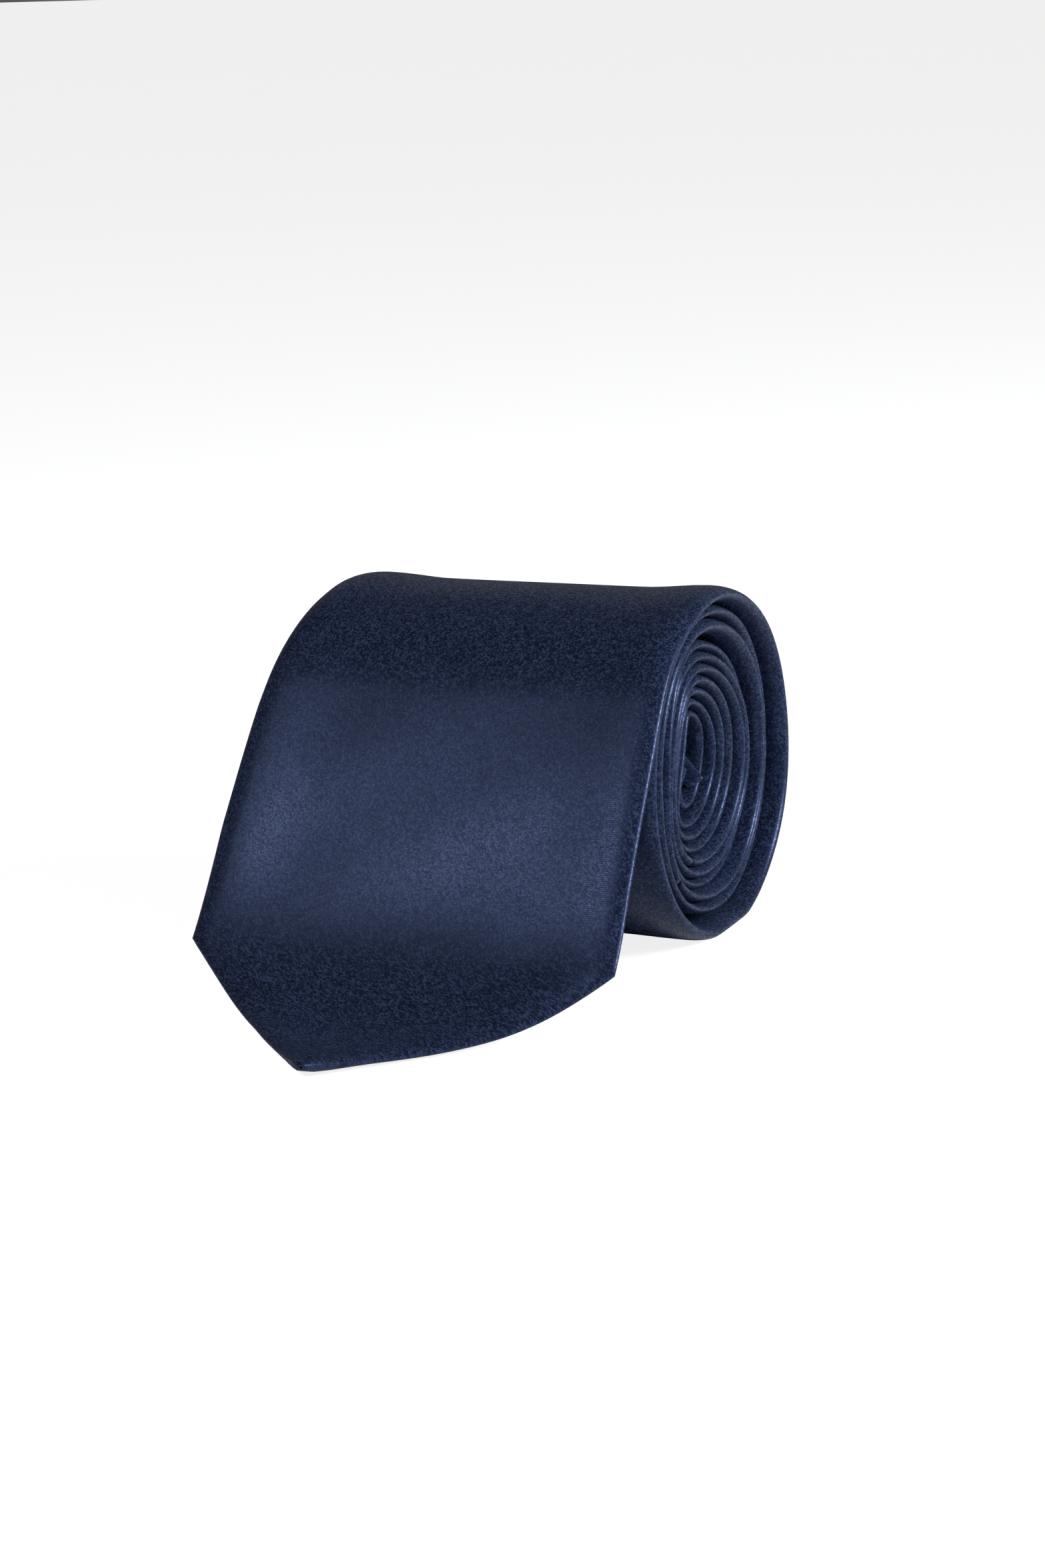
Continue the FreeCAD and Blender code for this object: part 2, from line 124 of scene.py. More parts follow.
def whole_line():
    steps = 9000
    roll = np.stack(rolled(size("turns") * np.arange(steps + 1) / steps), 1)
    start, ahead = (np.array(rolled(np.array([u])))[:, 0] for u in (0.0, 0.0005))
    away = (start - ahead) / hypot(*(start - ahead))
    end = np.array((size("reach"), size("point_rise")))
    span = hypot(*(end - start))
    slope = radians(size("land_angle"))
    one = start + away * size("leave_pull") * span
    two = end - np.array((cos(slope), -sin(slope))) * size("land_pull") * span
    two[1] = end[1] - sin(slope) * size("land_pull") * span
    v = (1 - np.arange(1200) / 1200)[:, None]
    blade = (1 - v) ** 3 * start + 3 * (1 - v) ** 2 * v * one + 3 * (1 - v) * v * v * two + v ** 3 * end
    # through the core
    radius = size("core_bend")
    tf, tz = heading(roll)
    centre = roll[-1] + np.array((-tz, tf)) * radius
    a = radians(size("core_bend_angle")) * np.arange(1, 81) / 80
    arc = centre + radius * np.stack((tz * np.cos(a) + tf * np.sin(a), tz * np.sin(a) - tf * np.cos(a)), 1)
    bent = heading(arc)
    middle = np.array((size("core_mid_forward"), size("core_mid_up")))
    top = np.array((size("core_top_forward"), size("core_top_up")))
    lower = bezier(arc[-1], arc[-1] + bent * 2.2, middle + (0.5, -2.2), middle, 200)
    upper = bezier(middle, middle + (-0.35, 1.54), top + (-0.35, -1.5), top, 200)
    whole = np.concatenate((roll, arc, lower, upper))
    return blade, whole, doubled_back(whole)


def doubled_back(roll):
    """The end of the tail turns inward on itself and lies back along its own inner side."""
    radius = size("tail_turn_back")
    t = heading(roll)
    inward = np.array((-t[1], t[0]))
    a = (pi * np.arange(1, 40) / 40)[:, None]
    bend = roll[-1] + inward * radius - inward * radius * np.cos(a) + t * radius * np.sin(a)
    back = [bend[-1]]
    run = 0.0
    i = len(roll) - 1
    while run < size("tail_back"):
        step = roll[min(i + 1, len(roll) - 1)] - roll[i - 1]
        tf, tz = step / hypot(*step)
        back.append(roll[i] + np.array((-tz, tf)) * 2 * radius)
        run += hypot(*(back[-1] - back[-2]))
        i -= 1
    return np.concatenate((bend, np.array(back[1:])))


BLADE_LINE, WHOLE_ROLL, TAIL_LINE = whole_line()
LINE = np.concatenate((BLADE_LINE, WHOLE_ROLL, TAIL_LINE))
RUNS = np.concatenate(((0.0,), np.cumsum(np.hypot(*np.diff(LINE, axis=0).T))))
LEAVE_RUN = RUNS[len(BLADE_LINE)]
FOLD_RUN = RUNS[len(BLADE_LINE) + len(WHOLE_ROLL) - 1]
BACK_RUN = FOLD_RUN + pi * size("tail_turn_back")
END_RUN = RUNS[-1]
TAIL_CORNER = FOLD_RUN - size("tail_apex")
SLIP_END = FOLD_RUN - 60.0

AHEAD = np.concatenate((LINE[1:], LINE[-1:])) - np.concatenate((LINE[:1], LINE[:-1]))
AHEAD /= np.hypot(*AHEAD.T)[:, None]


def on_line(run):
    """Place on the middle line and the unit direction of the run there; straight on past the ends."""
    f, z = (np.interp(run, RUNS, LINE[:, k]) for k in (0, 1))
    tf, tz = (np.interp(run, RUNS, AHEAD[:, k]) for k in (0, 1))
    scale = np.hypot(tf, tz)
    tf, tz = tf / scale, tz / scale
    past = np.minimum(run, 0) + np.maximum(run - END_RUN, 0)
    return f + tf * past, z + tz * past, tf, tz


HINGE = frame["record"]["behaviour"]["joints"][0]["pos_m"]
f0, z0, tf0, tz0 = on_line(LEAVE_RUN)
SHIFT = HINGE[1] / MM + float(f0 + tz0 * HALF)


def to_frame(run, x, height):
    """Points of the cloth in the shared frame, metres."""
    f, z, tf, tz = on_line(run)
    return np.stack((x * np.ones_like(run), SHIFT - (f + tz * height), z - tf * height), -1) * MM


# ---- widths and edges ----

CORNER = size("blade_width") / 2
WIDTHS = [(0.0, size("tip_half")), (CORNER, CORNER), (size("taper_end"), size("neck_width") / 2),
          (size("neck_end"), size("neck_width") / 2), (TAIL_CORNER, size("tail_width") / 2)]


def cad_right(run):
    flush = size("flush_run")
    start = size("drift") * (flush - CORNER) + between(flush, WIDTHS)
    free = size("drift") * (run - CORNER) + between(run, WIDTHS)
    return np.where(run < flush, free, start - size("flush_step") * (run - flush))


FOLD_X = size("tail_apex_x") - size("tail_apex")
POINT_RUN = FOLD_RUN - (float(cad_right(FOLD_RUN)) - FOLD_X)
TAIL_EDGE = [(POINT_RUN, float(cad_right(FOLD_RUN))), (FOLD_RUN, FOLD_X), (BACK_RUN, FOLD_X),
             (BACK_RUN + size("tail_apex"), size("tail_apex_x")),
             (END_RUN, size("tail_apex_x") - (END_RUN - BACK_RUN - size("tail_apex")))]

# How far the folded edges stand out or in from the drawn-out taper, and how thick they are, listed run by
# run: the second and fourth turns sit a little further in, the turns round the core further out.
RIGHT_OFF = [(30, -0.5), (60, -0.8), (130, -0.4), (300, 0.0), (396, -2.0), (487, 0.0), (650, 0.4),
             (733, -1.8), (800, 0.2), (1000, 1.4), (1350, 0.7), (POINT_RUN, 0.0)]
LEFT_OFF = [(0, 0.0), (20, 1.0), (42, -0.3), (65, -1.3), (90, -1.1), (120, 0.4), (260, -0.3),
            (520, 0.0)]
EDGE_THICK = [(0, 2.6), (50, 3.0), (94, 3.2), (500, 3.1), (800, 2.7), (1330, 1.8)]
FRONT_DISH = [(0, 0.2), (94, 0.6), (137, 0.8), (250, 0.3), (480, 0.2)]


def cad_edges(run):
    run = np.asarray(run, float)
    right = cad_right(run)
    left = right - 2 * between(run, WIDTHS)
    return left, np.where(run > POINT_RUN, between(run, TAIL_EDGE), right)


def edges(run):
    """Left and right edge of the folded tie as it lies, with the slight waver of a pressed fold."""
    run = np.asarray(run, float)
    left, right = cad_edges(run)
    calm = np.clip((run - 30) / 60, 0, 1)
    right = right + between(run, RIGHT_OFF) + calm * (0.16 * np.sin(run / 17.0) + 0.09 * np.sin(run / 6.3 + 1))
    left = left + between(run, LEFT_OFF) + calm * (0.2 * np.sin(run / 21.0 + 2) + 0.1 * np.sin(run / 7.7))
    return left, right


def slit(run):
    narrow = size("slit_half")
    wide = CORNER - size("hem")
    return between(run, [(size("hem"), narrow), (CORNER, wide), (size("slip_run"), narrow)])


# ---- how thick the cloth may be between its neighbours ----

def gaps(runs):
    """Distance from each point of the line to the next strand on its outer and on its inner side."""
    f, z, tf, tz = on_line(runs)
    place = np.stack((f, z), 1)
    normal = np.stack((tz, -tf), 1)
    away = place[None] - place[:, None]
    far = np.hypot(away[..., 0], away[..., 1]) + 1e-6
    side = (away * normal[:, None]).sum(-1) / far
    other = np.abs(runs[None] - runs[:, None]) > 8.0
    out = np.where(other & (side > 0.6), far, 9.0).min(1)
    inn = np.where(other & (side < -0.6), far, 9.0).min(1)
    return out, inn


GRID = np.arange(0.0, END_RUN, 1.5)
OUT_GAP, IN_GAP = gaps(GRID)


def smoothed(values, width=5):
    padded = np.concatenate((np.full(width, values[0]), values, np.full(width, values[-1])))
    low = np.array([padded[i:i + 2 * width + 1].min() for i in range(len(values))])
    padded = np.concatenate((np.full(width, low[0]), low, np.full(width, low[-1])))
    return np.convolve(padded, np.ones(2 * width + 1) / (2 * width + 1), "valid")


_, z_line, tf_line, _ = on_line(GRID)
RISE = -tf_line                       # how much the outer side faces up
CLEAR = z_line - 0.12
FRONT = np.minimum(HALF, OUT_GAP - HALF - 0.05)
FRONT = np.where(RISE < -0.05, np.minimum(FRONT, CLEAR / np.maximum(-RISE, 0.05)), FRONT)
BEHIND = np.minimum(between(GRID, EDGE_THICK) - HALF, IN_GAP - HALF - 0.08)
BEHIND = np.where(RISE > 0.05, np.minimum(BEHIND, CLEAR / np.maximum(RISE, 0.05)), BEHIND)
FRONT = smoothed(FRONT, 3)
BEHIND = smoothed(np.maximum(BEHIND, 0.75), 3)


def smooth(v):
    v = np.clip(v, 0, 1)
    return v * v * (3 - 2 * v)


WALL = 0.42
FOLD_DEEP = 4.5


def sag(run):
    """How far the middle of the cloth sinks towards its back, beyond what the layers' slack takes up."""
    return np.maximum(between(run, FRONT_DISH) - 0.3, 0)


def section(run, inset, spread):
    """Section of the folded satin at each run: a flat tube open along the middle of the back.
    Gives x and height, shape (runs, points), from the slit round by the left fold, the front and
    the right fold back to the slit. inset pulls it in by the thickness of the cloth."""
    left, right = edges(run)
    mid = (left + right) / 2
    half = (right - left) / 2
    point = np.clip((run - 36) / 12, 0, 1)
    deep = (6.2 * (1 - point) + point * between(run, [(94, FOLD_DEEP), (500, 4.0), (800, 3.0), (1200, 2.4)]))
    deep = np.minimum(deep, half * 0.62)
    blunt = np.sqrt(np.clip(1 - (1 - np.minimum(half * 0.7071 / 4.0, 1)) ** 2, 0.05, 1))
    blunt = np.where(run < 40, blunt, 1.0)
    front = np.interp(run, GRID, FRONT) * blunt
    behind = np.interp(run, GRID, BEHIND) * blunt
    centre = (front - behind) / 2
    reach = np.maximum(half - inset, 0.15)
    deep = np.maximum(deep - inset, 0.1)
    up = np.maximum(front - inset, 0.05 + 0 * front)
    down = np.maximum(behind - inset, 0.05 + 0 * behind)
    gap = np.minimum(slit(run), half - np.maximum(deep, 0.3) - inset - 0.3)
    gap = np.maximum(gap, 0.12)
    col = lambda a: np.asarray(a)[:, None]
    t = np.linspace(0, 1, spread)[None]
    turn = np.linspace(-pi / 2, pi / 2, 13)[None, 1:-1]
    bow = np.sin(turn)
    lean = 1 - np.cos(turn)

    def fold(sign):
        x = col(mid + sign * reach) - sign * col(deep) * lean
        level = col(centre) * (1 - np.abs(bow) ** 1.5)
        h = np.where(bow > 0, col(up), col(down)) * bow + level * 0.6
        return x, h

    def dish(x, amount, over):
        d = np.minimum(x - col(left), col(right) - x) - col(deep)
        return col(amount) * smooth(d / over)

    back_x = col(mid - gap) + (col(mid - reach + deep) - col(mid - gap)) * t
    side_x = col(mid + reach - deep) + (col(mid + gap) - col(mid + reach - deep)) * t
    face_x = col(mid - reach + deep) + col(2 * (reach - deep)) * np.linspace(0, 1, 2 * spread)[None]
    hollow = np.maximum(behind - 1.0 - sag(run), 0)
    waves = (0.10 * np.sin(col(run) / 11.0 + face_x / 13.0) * np.sin(face_x / 9.0 - col(run) / 37.0)
             + 0.05 * np.sin(col(run) / 4.6 - face_x / 7.0))
    quiet = smooth((np.minimum(face_x - col(left), col(right) - face_x) - col(deep)) / 8)
    face_h = col(up) - dish(face_x, between(run, FRONT_DISH) * blunt, 13.0) + waves * quiet * 0.7 * col(blunt)
    parts = [(back_x, -col(down) + dish(back_x, hollow, 10.0)),
             fold(-1),
             (face_x, face_h),
             tuple(a[:, ::-1] for a in fold(1)),
             (side_x, -col(down) + dish(side_x, hollow, 10.0))]
    return np.concatenate([p[0] for p in parts], 1), np.concatenate([p[1] for p in parts], 1)


def stations(first, last, longest=2.2, bend=0.11):
    """Runs from first to last, closer together where the line bends."""
    inside = RUNS[(RUNS > first) & (RUNS < last)]
    runs = np.concatenate(((first,), inside[::4], (last,)))
    _, _, tf, tz = on_line(runs)
    turn = np.abs(np.diff(np.unwrap(np.arctan2(tz, tf))))
    amount = np.concatenate(((0.0,), np.cumsum(turn / bend + np.diff(runs) / longest)))
    return np.interp(np.linspace(0, amount[-1], int(amount[-1]) + 2), amount, runs)


# ---- meshes ----

def new_mesh(name, points, faces, across=None, along=None):
    """A mesh piece with a cloth-scale UV map (10 mm of cloth is one unit)."""
    mesh = bpy.data.meshes.new(name)
    mesh.from_pydata([tuple(p) for p in points], [], faces)
    mesh.validate()
    mesh.polygons.foreach_set("use_smooth", np.ones(len(mesh.polygons), bool))
    if across is not None:
        layer = mesh.uv_layers.new(name="Cloth")
        index = np.zeros(len(mesh.loops), int)
        mesh.loops.foreach_get("vertex_index", index)
        uv = np.stack((across[index], along[index]), 1) / 10.0
        layer.data.foreach_set("uv", uv.astype(np.float32).ravel())
    mesh.update()
    piece = bpy.data.objects.new(name, mesh)
    bpy.context.scene.collection.objects.link(piece)
    return piece


def grid_faces(rows, cols, closed=True, start=0):
    faces = []
    wide = cols if closed else cols - 1
    for i in range(rows - 1):
        for j in range(wide):
            k = (j + 1) % cols
            faces.append((start + i * cols + j, start + i * cols + k,
                          start + (i + 1) * cols + k, start + (i + 1) * cols + j))
    return faces


def lofted(name, runs, x, height, along):
    """A closed tube through rings of (x, height) points, one ring per run."""
    points = to_frame(along, x, height)
    rows, cols = x.shape
    faces = grid_faces(rows, cols)
    faces.append(tuple(range(cols))[::-1])
    faces.append(tuple((rows - 1) * cols + j for j in range(cols)))
    step = np.hypot(np.diff(x, axis=1), np.diff(height, axis=1))
    across = np.concatenate((np.zeros((rows, 1)), np.cumsum(step, 1)), 1) - 40.0
    return new_mesh(name, points.reshape(-1, 3), [f[::-1] for f in faces], across.ravel(), along.ravel())


def cut_size(first, last):
    """Flat width and area of the satin from the drawn widths: the front and the two back panels."""
    runs = np.linspace(first, last, 1200)
    left, right = cad_edges(runs)
    wide = np.maximum(2 * (right - left) - 2 * slit(runs), 0.5)
    return float(((wide[1:] + wide[:-1]) / 2 * np.diff(runs)).sum()) * MM * MM, float(wide.max()) * MM


def shear(runs, x, seams):
    """The bias seams run at 45 degrees: near one, the rings lean until they lie along it."""
    left, right = edges(runs)
    mid = ((left + right) / 2)[:, None]
    lean = np.zeros_like(runs)
    for seam in seams:
        lean = np.maximum(lean, smooth(1 - np.abs(runs - seam) / 75.0))
    return runs[:, None] + lean[:, None] * (x - mid)


SEAM_SINK = 0.16


def satin_piece(name, first, last, seams):
    runs = stations(first, last)
    outer_x, outer_h = section(runs, 0.0, 12)
    inner_x, inner_h = section(runs, WALL, 7)
    sink = np.zeros_like(runs)
    for seam in seams:
        sink = np.maximum(sink, np.exp(-((runs - seam) / 0.9) ** 2))
    outer_h = outer_h * (1 - SEAM_SINK * sink[:, None])
    area, wide = cut_size(first, last)
    x = np.concatenate((outer_x, inner_x[:, ::-1]), 1)
    h = np.concatenate((outer_h, inner_h[:, ::-1]), 1)
    if first <= 0:                     # the closed point of the blade
        cap_x = x[:1] * 0.35
        cap_h = h[:1].mean() + (h[:1] - h[:1].mean()) * 0.4
        runs = np.concatenate(((first - 0.55,), runs))
        x = np.concatenate((cap_x, x))
        h = np.concatenate((cap_h, h))
    piece = lofted(name, runs, x, h, shear(runs, x, seams))
    return piece, area, wide, (last - first) * MM


SEAM_GAP = 0.05
ONE, TWO = size("bias_one"), size("bias_two")
satin_blade, blade_area, blade_wide, blade_long = satin_piece("satin_blade", 0.0, ONE - SEAM_GAP, [ONE])
satin_neck, neck_area, neck_wide, neck_long = satin_piece("satin_neck", ONE + SEAM_GAP, TWO - SEAM_GAP,
                                                          [ONE, TWO])
satin_tail, tail_area, tail_wide, tail_long = satin_piece("satin_tail", TWO + SEAM_GAP, END_RUN, [TWO])


def slab(name, first, last, margin, low, high, columns, seams=(), longest=3.0, ripple=0.02):
    """A thin layer of cloth inside the tie, between two heights under the dished face."""
    runs = stations(first, last, longest, 0.16)
    left, right = cad_edges(runs)
    left, right = left + margin, right - margin
    tip = np.where(right - left < 0.6)
    right[tip] = left[tip] + 0.6
    t = np.concatenate((np.linspace(0, 1, columns), np.linspace(1, 0, columns)))[None]
    x = left[:, None] + (right - left)[:, None] * t
    h = np.repeat(np.concatenate((np.full(columns, high), np.full(columns, low)))[None], len(runs), 0)
    h = h - between(runs, FRONT_DISH)[:, None] + ripple * np.sin(x / 3.1 + runs[:, None] / 5.3)
    width = (right - left)
    area = float(((width[1:] + width[:-1]) / 2 * np.diff(runs)).sum()) * MM * MM
    piece = lofted(name, runs, x, h, shear(runs, x, seams))
    return piece, area, float(width.max()) * MM, (last - first) * MM


interlining, core_area, core_wide, core_long = slab("interlining", 5.0, END_RUN - 1.5, 2.8, 0.02, 0.52, 16)
tipping_blade, tip_area, tip_wide, tip_long = slab(
    "tipping_blade", 6.0, size("slip_run") + 12.0, 3.0, -0.24, -0.04, 16, longest=2.0)
tipping_tail, end_area, end_wide, end_long = slab(
    "tipping_tail", SLIP_END - 12.0, END_RUN - 3.0, 2.2, -0.24, -0.06, 12, longest=2.0)


def seam_allowances(name, seam):
    """The two pressed-open allowances of a bias seam, inside the tie."""
    strips = []
    for side in (-1, 1):
        runs = np.linspace(seam + side * 0.3, seam + side * 6.8, 8)[::side]
        left, right = edges(runs)
        t = np.concatenate((np.linspace(0, 1, 14), np.linspace(1, 0, 14)))[None]
        x = (left + 1.4)[:, None] + (right - left - 2.8)[:, None] * t
        h = np.repeat(np.concatenate((np.full(14, -0.27), np.full(14, -0.47)))[None], 8, 0)
        h = h + 0.02 * np.sin(x / 2.0 + runs[:, None])
        strips.append((runs, x, h))
    piece, other = (lofted(name, runs, x, h, shear(runs, x, [seam])) for runs, x, h in strips)
    return join(piece, other)


def join(piece, *others):
    """Adds other meshes to the first piece's mesh."""
    points = [v.co.copy() for v in piece.data.vertices]
    faces = [tuple(p.vertices) for p in piece.data.polygons]
    maps = [tuple(u.uv) for u in piece.data.uv_layers[0].data]
    for other in others:
        start = len(points)
        points += [v.co.copy() for v in other.data.vertices]
        faces += [tuple(start + k for k in p.vertices) for p in other.data.polygons]
        maps += [tuple(u.uv) for u in other.data.uv_layers[0].data]
        bpy.data.objects.remove(other)
    mesh = bpy.data.meshes.new(piece.name)
    mesh.from_pydata(points, [], faces)
    mesh.polygons.foreach_set("use_smooth", np.ones(len(mesh.polygons), bool))
    layer = mesh.uv_layers.new(name="Cloth")
    layer.data.foreach_set("uv", np.array(maps, np.float32).ravel())
    mesh.update()
    piece.data = mesh
    return piece


seam_one = seam_allowances("seam_allowance_blade_neck", ONE)
seam_two = seam_allowances("seam_allowance_neck_tail", TWO)


def thread_tube(name, run, x, height, radius, sides=6):
    """A twisted thread through points given as runs, x and heights."""
    path = to_frame(run, x, height)
    step = np.gradient(path, axis=0)
    step /= np.linalg.norm(step, axis=1)[:, None]
    guide = np.array((1.0, 0.0, 0.0))
    one = np.cross(step, guide)
    weak = np.linalg.norm(one, axis=1) < 0.2
    one[weak] = np.cross(step[weak], np.array((0.0, 0.6, 0.8)))
    one /= np.linalg.norm(one, axis=1)[:, None]
    two = np.cross(step, one)
    count = len(run)
    turn = 2 * pi * np.arange(sides)[None] / sides
    swell = radius * MM * (1 + 0.12 * np.sin(turn * 2 + np.arange(count)[:, None] * 1.3))
    rings = path[:, None] + swell[..., None] * (one[:, None] * np.cos(turn)[..., None]
                                                + two[:, None] * np.sin(turn)[..., None])
    faces = grid_faces(count, sides)
    faces.append(tuple(range(sides))[::-1])
    faces.append(tuple((count - 1) * sides + j for j in range(sides)))
    along = np.repeat(np.arange(count) * 0.5, sides)
    across = np.tile(np.arange(sides) * 0.3, count)
    return new_mesh(name, rings.reshape(-1, 3), faces, across, along)


def slip_stitches():
    """One thread that laces the two folded edges together up the middle of the back."""
    runs = np.arange(size("slip_run") + 1.0, SLIP_END, 1.0)
    left, right = edges(runs)
    swing = 0.62 * np.sin(runs * 2 * pi / 9.0)
    height = -np.interp(runs, GRID, BEHIND).clip(0.8, 1.0) + 0.28 + 0.08 * np.cos(runs * 4 * pi / 9.0)
    return thread_tube("slip_stitch_thread", runs, (left + right) / 2 + swing, height, 0.14)


slip = slip_stitches()


def strip(name, run_from, run_to, x_from, x_to, low, high, rows, columns):
    """A narrow band laid across the back of the tie, its long edges rounded."""
    runs = np.linspace(run_from, run_to, rows)
    t = np.concatenate((np.linspace(0, 1, columns), np.linspace(1, 0, columns)))[None]
    x = np.repeat(x_from + (x_to - x_from) * t, rows, 0)
    v = (runs - run_from) / (run_to - run_from)
    round_off = np.sqrt(np.clip(1 - np.abs(2 * v - 1) ** 6, 0.06, 1))[:, None]
    middle_h, thick = (low + high) / 2, (high - low) / 2
    side = np.concatenate((np.full(columns, 1.0), np.full(columns, -1.0)))[None]
    h = middle_h + side * thick * round_off + 0.02 * np.sin(x * 1.7)
    return lofted(name, runs, x, h, np.repeat(runs[:, None], x.shape[1], 1))


def mid_x(run):
    left, right = cad_edges(run)
    return float(left + right) / 2


BACK = -HALF - 0.1
keep, keep_x = size("keeper_run"), mid_x(size("keeper_run") + 6.5)
span = size("keeper_span") / 2
keeper = strip("keeper_loop_band", keep, keep + size("keeper_wide"), keep_x - span, keep_x + span,
               BACK - size("keeper_thick"), BACK, rows=18, columns=40)
tag, tag_x = size("label_run"), mid_x(size("label_run") + 12.0)
wide = size("label_span") / 2
label = strip("blank_label_patch", tag, tag + size("label_long"), tag_x - wide, tag_x + wide,
              BACK - size("label_thick"), BACK, rows=30, columns=30)


def stitch_row(name, run, x, height, pitch=2.2, rise=0.14, radius=0.13):
    """Running stitches: a thread that shows and dips by turns. run and x are its two ends."""
    long = hypot(run[1] - run[0], x[1] - x[0])
    t = np.linspace(0, 1, max(8, int(long / pitch * 8)))
    wave = np.abs(np.sin(t * long / pitch * pi)) ** 0.5
    return thread_tube(name, run[0] + (run[1] - run[0]) * t, x[0] + (x[1] - x[0]) * t,
                       height - rise * wave + rise * 0.4, radius, 5)


low = BACK - size("keeper_thick")
keeper_threads = join(*(
    stitch_row("keeper_stitch_threads", (keep + 1, keep + 12), (keep_x + s, keep_x + s), low)
    for s in (-span + 2.4, span - 2.4)))
low = BACK - size("label_thick")
label_ends = (tag_x - wide + 1.5, tag_x + wide - 1.5)
label_threads = join(*(
    stitch_row("label_stitch_threads", (r, r), label_ends, low)
    for r in (tag + 1.3, tag + size("label_long") - 1.3)))


def bar_tack(name, run):
    """A bar of close overcast stitches across the meeting edges."""
    x0 = mid_x(run)
    turns = 13
    t = np.linspace(0, 1, turns * 8)
    along = run + size("tack_wide") / 2 + 0.45 * np.cos(t * turns * 2 * pi)
    height = BACK - 0.12 + 0.1 * np.sin(t * turns * 2 * pi)
    return thread_tube(name, along, x0 + size("tack_span") * (t - 0.5), height, 0.13, 5)


blade_tack = bar_tack("bar_tack_blade", size("slip_run") - 0.2)
tail_tack = bar_tack("bar_tack_tail", SLIP_END + 1.4)


# ---- materials ----

def material(name):
    made = bpy.data.materials.new(name)
    made.use_nodes = True
    tree = made.node_tree
    tree.nodes.clear()
    return made, tree


def node(tree, kind, inputs=None, **settings):
    made = tree.nodes.new(kind)
    for key, value in settings.items():
        setattr(made, key, value)
    for key, value in (inputs or {}).items():
        if hasattr(value, "is_output"):
            tree.links.new(value, made.inputs[key])
        else:
            made.inputs[key].default_value = value
    return made


def ramp(tree, factor, stops):
    made = tree.nodes.new("ShaderNodeValToRGB")
    tree.links.new(factor, made.inputs[0])
    band = made.color_ramp
    while len(band.elements) < len(stops):
        band.elements.new(0.5)
    for element, (place, colour) in zip(band.elements, stops):
        element.position = place
        element.color = (*colour, 1.0)
    return made.outputs[0]


def cloth(name, dark, light, rib, weft, twill=45.0, roughness=0.42, sheen=0.25, sheen_tint=(0.6, 0.7, 1.0),
          specular=0.35, specular_tint=(1.0, 1.0, 1.0), strength=0.35, float_tone_and_glint_share=0.5, depth=0.00006,
          mottle=0.35):
    """Woven cloth: diagonal ribs crossed by the weft, a fine random tone for each float of thread that is
    partly a painted glint of single threads in the colour, and soft mottling.
    """
    made, tree = material(name)
    uv = node(tree, "ShaderNodeUVMap", uv_map="Cloth").outputs[0]
    turned = node(tree, "ShaderNodeMapping", {"Vector": uv, "Rotation": (0, 0, radians(twill))}).outputs[0]
    ribs = node(tree, "ShaderNodeTexWave", {"Vector": turned, "Scale": 5.0 / rib,
                "Distortion": 1.2, "Detail": 2.0, "Detail Scale": 2.0, "Detail Roughness": 0.6},
                wave_type="BANDS", bands_direction="X").outputs["Fac"]
    wefts = node(tree, "ShaderNodeTexWave", {"Vector": uv, "Scale": 10.0 / weft / 2, "Distortion": 0.8,
                 "Detail": 2.0, "Detail Scale": 1.5}, wave_type="BANDS", bands_direction="Y").outputs["Fac"]
    # one random tone for each float of thread, about a quarter of a millimetre; in the base colour it is
    # partly a painted glint of single floats, and it also sets the roughness
    stretched = node(tree, "ShaderNodeMapping", {"Vector": uv, "Scale": (38.0, 30.0, 30.0)}).outputs[0]
    floats = node(tree, "ShaderNodeTexVoronoi", {"Vector": stretched, "Scale": 1.0},
                  voronoi_dimensions="2D").outputs["Color"]
    float_random_value = node(tree, "ShaderNodeSeparateColor", {0: floats}).outputs[0]
    float_tone_and_painted_glint = node(tree, "ShaderNodeMapRange", {"Value": float_random_value, "From Min": 0.08, "From Max": 0.92,
                   "To Min": 0.0, "To Max": 1.0}).outputs[0]
    patches = node(tree, "ShaderNodeTexNoise", {"Vector": uv, "Scale": 0.9, "Detail": 4.0,
                   "Roughness": 0.6}).outputs["Fac"]
    weave = node(tree, "ShaderNodeMath", {0: ribs, 1: wefts}, operation="MULTIPLY").outputs[0]
    base = node(tree, "ShaderNodeMix", {"Factor": float_tone_and_glint_share, "A": weave, "B": float_tone_and_painted_glint},
                data_type="FLOAT").outputs[0]
    tone = node(tree, "ShaderNodeMix", {"Factor": mottle * 0.4, "A": base, "B": patches},
                data_type="FLOAT").outputs[0]
    # painted glint: the random float tone lightens single floats in the base colour in place of their glints;
    # the weave and the mottling are the cloth's own tone
    colour = ramp(tree, tone, [(0.1, dark), (0.5, tuple(0.6 * a + 0.3 * b for a, b in zip(dark, light))),
                               (0.9, light)])
    bump = node(tree, "ShaderNodeBump", {"Strength": strength, "Distance": depth, "Height": base}).outputs[0]
    rough = node(tree, "ShaderNodeMapRange", {"Value": float_tone_and_painted_glint, "From Min": 0.0, "From Max": 1.0,
                 "To Min": roughness + 0.12, "To Max": roughness - 0.12}).outputs[0]
    shader = node(tree, "ShaderNodeBsdfPrincipled", {
        "Base Color": colour, "Roughness": rough, "Normal": bump, "Sheen Weight": sheen,
        "Sheen Roughness": 0.35, "Sheen Tint": (*sheen_tint, 1.0), "Specular IOR Level": specular,
        "Specular Tint": (*specular_tint, 1.0)})
    out = node(tree, "ShaderNodeOutputMaterial")
    tree.links.new(shader.outputs[0], out.inputs[0])
    return made
